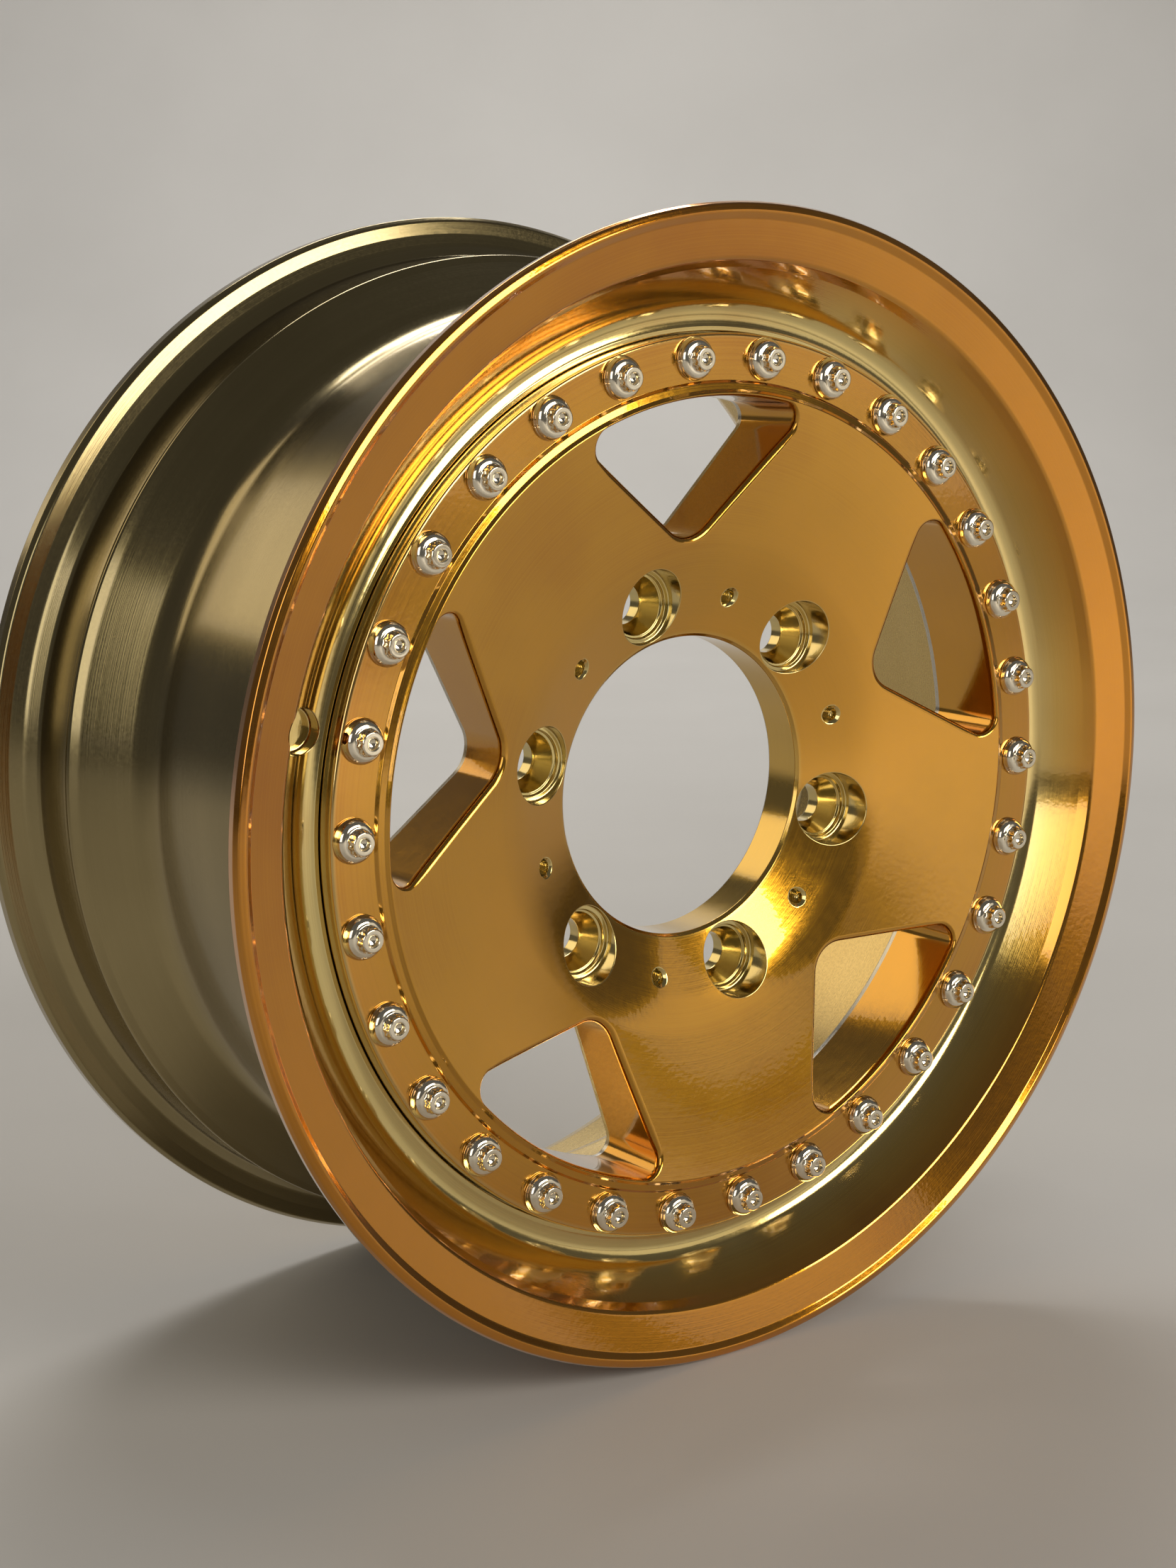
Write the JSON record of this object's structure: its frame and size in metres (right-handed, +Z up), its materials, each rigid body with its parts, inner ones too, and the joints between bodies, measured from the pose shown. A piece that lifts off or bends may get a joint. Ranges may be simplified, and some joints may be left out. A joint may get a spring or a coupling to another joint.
{
  "type": "forged wheel rim",
  "caption": "Three-piece forged wheel rim: a dished centre with spoke windows, a bolted outer lip and an inner barrel with a rear flange.",
  "frame": {"origin": "on the axle line, half way between the outer faces of the two flanges", "axes": "+Y along the axle, from the front face toward the rear of the wheel; +Z up, with the windows clocked as they stand at rest"},
  "size_m": [0.4108, 0.1832, 0.4108],
  "materials": {
    "candy_gold": "transparent orange gold lacquer over bright machined forging, high gloss",
    "satin_gold": "satin olive gold, spun",
    "chrome": "polished",
    "sealant": "matt"
  },
  "bodies": {
    "root": {"centre_disc": "candy_gold", "outer_lip": "candy_gold", "inner_barrel": "satin_gold", "joint_sealant": "sealant", "assembly_bolt_01": "chrome", "assembly_bolt_02": "chrome", "assembly_bolt_03": "chrome", "assembly_bolt_04": "chrome", "assembly_bolt_05": "chrome", "assembly_bolt_06": "chrome", "assembly_bolt_07": "chrome", "assembly_bolt_08": "chrome", "assembly_bolt_09": "chrome", "assembly_bolt_10": "chrome", "assembly_bolt_11": "chrome", "assembly_bolt_12": "chrome", "assembly_bolt_13": "chrome", "assembly_bolt_14": "chrome", "assembly_bolt_15": "chrome", "assembly_bolt_16": "chrome", "assembly_bolt_17": "chrome", "assembly_bolt_18": "chrome", "assembly_bolt_19": "chrome", "assembly_bolt_20": "chrome", "assembly_bolt_21": "chrome", "assembly_bolt_22": "chrome", "assembly_bolt_23": "chrome", "assembly_bolt_24": "chrome", "assembly_bolt_25": "chrome", "assembly_bolt_26": "chrome", "assembly_bolt_27": "chrome", "assembly_bolt_28": "chrome", "assembly_bolt_29": "chrome", "assembly_bolt_30": "chrome"}
  },
  "joints": []
}
